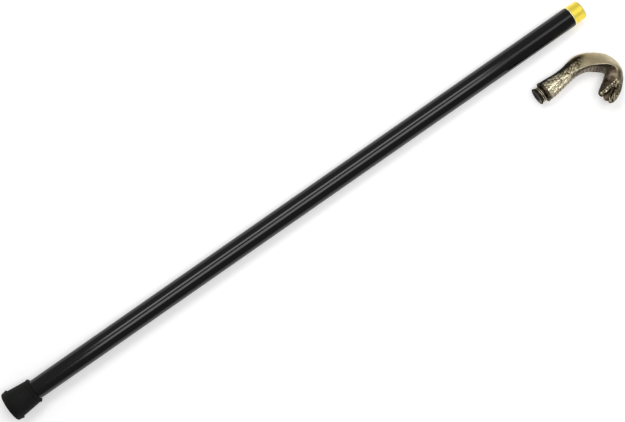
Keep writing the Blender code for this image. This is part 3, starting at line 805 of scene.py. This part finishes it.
def bead_lines(name, paths, mat):
    """Rows of beads along paths of points."""
    points = [tuple(p) for path in paths for p in path]
    edges = []
    start = 0
    for path in paths:
        edges += [(start + k, start + k + 1) for k in range(len(path) - 1)]
        start += len(path)
    source = bpy.data.meshes.new(name + "_lines")
    source.from_pydata(points, edges, [])
    mesh = run_tree(bead_tree(), source, {"Spacing": BEAD_SPACING, "Radius": BEAD_RADIUS, "Finish": mat})
    mesh.transform(HANDLE @ Matrix.Scale(MM, 4))
    mesh.shade_smooth()
    return linked(name, mesh)


def surface_at(tree, x, y, sign):
    """Point and normal of the handle's surface on one side, above a place in its side view."""
    hit, normal, _, _ = tree.ray_cast(Vector((x, y, sign * 60)), Vector((0, 0, -sign)))
    return hit, normal


def add_piece(store, verts, faces, tone):
    """Add faces to a store. tone is one for the whole piece or a list with one for each vertex."""
    start = len(store["verts"])
    store["verts"] += [tuple(v) for v in verts]
    store["faces"] += [tuple(i + start for i in face) for face in faces]
    store["tones"] += tone if isinstance(tone, list) else [(*tone, 1.0)] * len(verts)
    store["uvs"] += [(0.0, 0.0)] * len(verts)


def mouth_lining():
    """Vertices, faces and tones of the lining between the jaws."""
    verts = []
    tones = []
    for (cx, cy), half, width, wear in MOUTH_STATIONS:
        tones += [(wear, 1.0, 0.0, 1.0)] * LINING_AROUND
        for k in range(LINING_AROUND):
            turn = math.tau * k / LINING_AROUND
            up = half * math.cos(turn)
            verts.append((cx + 0.35 * up, cy + up, width * math.sin(turn)))
    return verts, tube_faces(len(MOUTH_STATIONS), LINING_AROUND), tones


def build_cobra(brass):
    points, tones, uvs = carve_handle()
    body_verts = points.reshape(-1, 3)
    body_faces = tube_faces(BODY_RINGS, BODY_AROUND)
    jaw_points, jaw_tones, jaw_uvs = carve_jaw()
    jaw_verts = jaw_points.reshape(-1, 3)
    jaw_faces = tube_faces(JAW_RINGS, JAW_AROUND)
    tree = BVHTree.FromPolygons([Vector(v) for v in body_verts] + [Vector(v) for v in jaw_verts],
                                body_faces + [tuple(i + len(body_verts) for i in f) for f in jaw_faces])
    body = finished("cobra_hood_and_neck", body_verts.tolist(), body_faces, HANDLE, brass,
                    tones.reshape(-1, 4), uvs.reshape(-1, 2))
    store = {"verts": [tuple(v) for v in jaw_verts], "faces": [tuple(f) for f in jaw_faces],
             "tones": jaw_tones.reshape(-1, 4).tolist(), "uvs": jaw_uvs.reshape(-1, 2).tolist()}
    add_piece(store, *mouth_lining())
    for sign in (1, -1):
        hit, normal = surface_at(tree, *EYE, sign)
        first = normal.orthogonal().normalized()
        axes = (first * EYE_RADIUS, normal.cross(first) * EYE_RADIUS, normal * EYE_RADIUS * 0.8)
        verts, faces = blob(hit - normal * 0.2, axes, 12, 24)
        add_piece(store, verts, faces, (0.6, 0.0, 0.0))
        mirror = Vector((1, 1, sign))
        verts, faces = horn(FANG_ROOT * mirror, FANG_TIP * mirror, 1.15, Vector((-0.9, 0, 0)))
        add_piece(store, verts, faces, (0.95, 0.0, 0.0))
        for tooth_x, tooth_z in LOWER_TEETH:
            root = Vector((tooth_x, TOOTH_ROOT, sign * tooth_z))
            verts, faces = horn(root, root + Vector((0.3, -2.6, 0)), 0.7, Vector((-0.2, 0, 0)), 8, 10)
            add_piece(store, verts, faces, (0.6, 0.2, 0.0))
    paths = []
    for line in LIP_LINES:
        for sign in (1, -1):
            path = [surface_at(tree, px, py, sign)[0] for px, py in line]
            paths.append([p - Vector((0, 0, sign * 0.35 * BEAD_RADIUS)) for p in path if p is not None])
    beads = bead_lines("lip_beads", paths, brass)
    jaw = finished("cobra_jaw_eyes_and_teeth", store["verts"], store["faces"], HANDLE, brass,
                   store["tones"], store["uvs"])
    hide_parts("cobra_handle")
    for obj in (body, jaw, beads):
        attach(obj, "handle")


def thread_tree():
    """A helical ridge round Z that runs out at both ends. Height below zero points inwards."""
    sizes = {"Turns": 3.0, "Pitch": 2.0, "Radius": 8.9, "Height": 0.9, "Foot Width": 1.2, "Crest Width": 0.5,
             "Wear": 0.8}
    tree, given = geometry_tree("screw_thread", sizes)
    rise = add_math(tree, "MULTIPLY", given["Turns"], given["Pitch"])
    helix = add_node(tree, "GeometryNodeCurveSpiral", Resolution=96, Reverse=True, Rotations=given["Turns"],
                     Start_Radius=given["Radius"], End_Radius=given["Radius"], Height=rise)
    upright = add_node(tree, "GeometryNodeSetCurveNormal", {"mode": "Z_UP"}, Curve=helix.outputs[0])
    shape = add_node(tree, "GeometryNodeCurvePrimitiveQuadrilateral", {"mode": "TRAPEZOID"}, Offset=0.0,
                     Height=given["Height"], Bottom_Width=given["Foot Width"], Top_Width=given["Crest Width"])
    lift = add_node(tree, "ShaderNodeCombineXYZ", X=add_math(tree, "MULTIPLY", given["Height"], 0.5))
    stood = add_node(tree, "GeometryNodeTransform", Geometry=shape.outputs[0], Translation=lift.outputs[0],
                     Rotation=(0, 0, -math.pi / 2))
    # The ridge grows to its full size within a quarter of a turn.
    place = tree.nodes.new("GeometryNodeSplineParameter").outputs["Factor"]
    run = add_math(tree, "MULTIPLY", given["Turns"], 4.0)
    start = add_math(tree, "MULTIPLY", place, run)
    end = add_math(tree, "MULTIPLY", add_math(tree, "SUBTRACT", 1.0, place), run)
    size = add_math(tree, "MINIMUM", add_math(tree, "MINIMUM", start, end), 1.0)
    size = add_math(tree, "MAXIMUM", size, 0.05)
    swept = add_node(tree, "GeometryNodeCurveToMesh", Curve=upright.outputs[0],
                     Profile_Curve=stood.outputs[0], Scale=size, Fill_Caps=True)
    # It is more worn, the closer to the crest.
    where = add_node(tree, "ShaderNodeSeparateXYZ",
                     Vector=tree.nodes.new("GeometryNodeInputPosition").outputs[0])
    flat = add_node(tree, "ShaderNodeCombineXYZ", X=where.outputs[0], Y=where.outputs[1])
    length = add_node(tree, "ShaderNodeVectorMath", {"operation": "LENGTH"})
    tree.links.new(flat.outputs[0], length.inputs[0])
    above = add_math(tree, "SUBTRACT", length.outputs["Value"], given["Radius"])
    share = add_math(tree, "DIVIDE", above, given["Height"])
    worn = add_math(tree, "MULTIPLY", add_math(tree, "MAXIMUM", share, 0.25), given["Wear"])
    end_tree(tree, given, swept.outputs[0], worn, 0.5)
    return tree


def thread_ridge(name, start, phase, matrix, mat, **sizes):
    """A thread's ridge along X from start, in the frame of matrix, with its helix turned by phase."""
    tree = bpy.data.node_groups.get("screw_thread") or thread_tree()
    values = {key.replace("_", " "): value for key, value in sizes.items()}
    mesh = run_tree(tree, bpy.data.meshes.new(name + "_source"), {**values, "Finish": mat})
    upright = Matrix(((0, 0, 1, 0), (1, 0, 0, 0), (0, 1, 0, 0), (0, 0, 0, 1)))
    turn = Matrix.Rotation(phase, 4, "X")
    mesh.transform(matrix @ Matrix.Scale(MM, 4) @ Matrix.Translation((start, 0, 0)) @ turn @ upright)
    face_outwards(mesh)
    return linked(name, mesh)


def along_axis(obj, matrix):
    """How far along the axis of matrix each vertex is, in millimetres."""
    return np.array([(matrix.inverted() @ v.co).x / MM for v in obj.data.vertices])


def build_stub(brass, rubber):
    tip = -STUB_LENGTH
    floor = tip + HEAD_HOLE_DEPTH
    profile = [(floor, HEAD_HOLE_RADIUS), (tip, HEAD_HOLE_RADIUS), (tip, UNDERCUT), (tip + 0.5, THREAD_ROOT),
               (UNDERCUT_START, THREAD_ROOT), (UNDERCUT_START, UNDERCUT), (-GAP, UNDERCUT),
               (-GAP, SHANK_RADIUS), (SHANK_END, SHANK_RADIUS), (SHANK_END, SCREW_HOLE_RADIUS),
               (floor, SCREW_HOLE_RADIUS)]
    stub = turned("threaded_stub_brass", rounded(profile, 0.15, 2), HANDLE, brass, 96)
    along = along_axis(stub, HANDLE)
    down = np.array([(HANDLE.translation.y - v.co.y) / MM for v in stub.data.vertices])
    tones = np.ones((len(along), 4))
    # The end face has painted shade: darkest on its +Y side and lighter towards -Y. The rest of the stub
    # stays dark.
    tones[:, 0] = np.where(along < tip + 0.3, 0.02 + 0.3 * smooth_step(-1, 7, down), 0.14)
    tones[:, 1] = 0.5
    tones[:, 2] = 0.0
    store_tones(stub.data, tones)
    start = tip + STUB_THREAD_START
    ridge = thread_ridge("stub_thread_ridge", start, math.tau * start / THREAD_PITCH, HANDLE, brass,
                         Turns=STUB_THREAD_LENGTH / THREAD_PITCH, Pitch=THREAD_PITCH,
                         Radius=THREAD_ROOT - SUNK, Height=THREAD_CREST - THREAD_ROOT + SUNK,
                         Foot_Width=1.15, Crest_Width=0.45, Wear=0.95)
    section = []
    for k in range(RING_CORNERS):
        turn = math.tau * k / RING_CORNERS
        place = []
        for middle, half, reach in zip(RING_MIDDLE, RING_HALF, (math.cos(turn), math.sin(turn))):
            place.append(middle + math.copysign(half * abs(reach) ** 0.6, reach))
        section.append((tip + place[0], place[1]))
    ring = turned("black_seal_ring", section, HANDLE, rubber, 96)
    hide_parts("seal_ring")
    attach(ring, "seal_ring")
    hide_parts("threaded_stub")
    for obj in (stub, ridge):
        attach(obj, "handle")


def build_collar(gold):
    lip = COLLAR_START
    floor = CANE_LENGTH - SOCKET_DEPTH
    groove = THREAD_CREST + THREAD_PLAY
    profile = [(lip - SPIGOT_LENGTH, 0.0), (lip - SPIGOT_LENGTH, SPIGOT_RADIUS), (lip, SPIGOT_RADIUS),
               (lip, 12.45), (lip + 0.9, 12.45), (lip + 1.5, 11.9), (CANE_LENGTH - 0.6, 11.6),
               (CANE_LENGTH, 11.2), (CANE_LENGTH, groove), (floor, groove), (floor, 0.0)]
    collar = turned("gold_collar", rounded(profile, 0.25, 3), CANE, gold, 128)
    along = along_axis(collar, CANE)
    tones = np.zeros((len(along), 4))
    # Tones: a painted highlight along the lip, then painted shade on the far rim.
    tones[:, 0] = (along > lip - 0.1) & (along < lip + 1.3)
    tones[:, 1] = along > CANE_LENGTH - 0.7
    tones[:, 3] = 1.0
    store_tones(collar.data, tones)
    start = floor + RUN_IN
    # Half a pitch off the stub's ridge once the handle is tight.
    phase = math.tau * (start - CANE_LENGTH - TIGHT_GAP + THREAD_PITCH / 2) / THREAD_PITCH
    ridge = thread_ridge("collar_thread_ridge", start, phase, CANE, gold,
                         Turns=(SOCKET_DEPTH - 2 * RUN_IN) / THREAD_PITCH, Pitch=THREAD_PITCH,
                         Radius=groove + SUNK, Height=-0.85, Foot_Width=1.0, Crest_Width=0.45, Wear=0.5)
    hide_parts("collar")
    for obj in (collar, ridge):
        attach(obj, "shaft")


def build_shaft(lacquer):
    start, end = SHAFT_START + END_ROUND, SHAFT_END - END_ROUND
    hole = SPIGOT_RADIUS + GAP
    hole_end = SHAFT_END - SPIGOT_LENGTH - GAP
    profile = [(SHAFT_START, 0.0), (SHAFT_START, SHAFT_RADIUS - END_ROUND)]
    profile += [(start + (end - start) * k / SHAFT_RINGS, SHAFT_RADIUS) for k in range(SHAFT_RINGS + 1)]
    profile += [(SHAFT_END, SHAFT_RADIUS - END_ROUND), (SHAFT_END, hole), (hole_end, hole), (hole_end, 0.0)]
    shaft = turned("lacquered_shaft", profile, CANE, lacquer, 128)
    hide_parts("shaft")
    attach(shaft, "shaft")


def build_foot(rubber):
    bore = SHAFT_RADIUS + GAP
    sole = rounded([(0.9, 0.0), (0.9, 11.0), (0.0, 12.0), (0.0, 17.8), (0.9, 18.7), (4.8, 19.3),
                    (6.4, 19.8), (7.0, 19.8), (7.5, 18.1), (20.0, 16.75)], 0.2, 3)
    mouth = rounded([(20.0, 16.75), (33.4, 15.35), (33.9, 16.0), (35.3, 16.0), (FOOT_LENGTH, 15.2),
                     (FOOT_LENGTH, bore), (5.0, bore), (5.0, 0.0)], 0.2, 3)
    foot = turned("rubber_foot", sole + mouth[1:], CANE, rubber, 128)
    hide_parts("foot")
    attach(foot, "foot")


def build_floor():
    mesh = bpy.data.meshes.new("white_floor")
    corners = [(-FLOOR_HALF, -FLOOR_HALF, 0), (FLOOR_HALF, -FLOOR_HALF, 0), (FLOOR_HALF, FLOOR_HALF, 0),
               (-FLOOR_HALF, FLOOR_HALF, 0)]
    mesh.from_pydata(corners, [], [(0, 1, 2, 3)])
    floor = linked("white_floor", mesh)
    finish = Surface("white_paper", (0.94, 0.94, 0.94), 0.9)
    finish.plug("Specular IOR Level", 0.0)
    finish.plug("Emission Color", (1, 1, 1, 1))
    path = finish.add("ShaderNodeLightPath")
    seen = finish.math("MAXIMUM", path.outputs["Is Camera Ray"], path.outputs["Is Glossy Ray"])
    seen = finish.math("MAXIMUM", seen, path.outputs["Is Transmission Ray"])
    finish.plug("Emission Strength", finish.math("MULTIPLY", seen, FLOOR_GLOW))
    mesh.materials.append(finish.material)


def light(name, place, target, size, power):
    """A softbox that faces its target."""
    data = bpy.data.lights.new(name, "AREA")
    data.shape = "RECTANGLE"
    data.size, data.size_y = size
    data.energy = power
    obj = linked(name, data)
    obj.location = place
    obj.rotation_euler = (Vector(target) - Vector(place)).to_track_quat("-Z", "Y").to_euler()


def build_world():
    """White light that grows a little towards one side."""
    world = bpy.data.worlds.new("studio")
    bpy.context.scene.world = world
    world.use_nodes = True
    tree = world.node_tree
    background = tree.nodes["Background"].inputs
    background["Color"].default_value = (1, 1, 1, 1)
    parts = add_node(tree, "ShaderNodeSeparateXYZ",
                     Vector=tree.nodes.new("ShaderNodeTexCoord").outputs["Generated"])
    level = add_math(tree, "MULTIPLY_ADD", parts.outputs[1], WORLD_SLOPE, WORLD_LEVEL)
    tree.links.new(level, background["Strength"])


def build_camera():
    """Straight above the floor, with the picture's long axis turned to the photograph's."""
    centre = CANE @ Vector((CAMERA_ALONG * MM, 0, 0))
    centre.y -= CAMERA_BESIDE * MM
    across = Vector((PHOTO_ALONG, -PHOTO_ACROSS, 0))
    upward = Vector((PHOTO_ACROSS, PHOTO_ALONG, 0))
    data = bpy.data.cameras.new("photo_camera")
    data.sensor_width = SENSOR_WIDTH
    data.lens = SENSOR_WIDTH * CAMERA_HEIGHT / (PHOTO_WIDTH * PIXEL)
    data.shift_x = TOWARD_FOOT * PHOTO_ALONG / PHOTO_WIDTH
    data.shift_y = TOWARD_FOOT * PHOTO_ACROSS / PHOTO_WIDTH
    camera = linked("photo_camera", data)
    turn = Matrix((across, upward, Vector((0, 0, 1)))).transposed().to_4x4()
    place = Vector((centre.x - TOWARD_FOOT * PIXEL, centre.y, CAMERA_HEIGHT + SHAFT_HEIGHT))
    camera.matrix_world = Matrix.Translation(place) @ turn
    bpy.context.scene.camera = camera


def build_scene():
    rubber = make_rubber("foot_rubber", 0.12)
    seal = make_rubber("seal_rubber", 0.04)
    lacquer = make_lacquer()
    gold = make_gold()
    brass = make_aged_brass()
    steel = make_steel()
    build_cobra(brass)
    build_stub(brass, seal)
    build_collar(gold)
    build_shaft(lacquer)
    build_foot(rubber)
    finishes = {"foot_washer": steel, "stub_screw": steel, "collar_pin": gold}
    for name, finish in finishes.items():
        mesh = frame["nodes"][name].data
        mesh.materials.clear()
        mesh.materials.append(finish)
    build_floor()
    for place in LIGHTS:
        light(*place)
    build_world()
    build_camera()
    bpy.context.scene.view_settings.view_transform = "Standard"


build_scene()
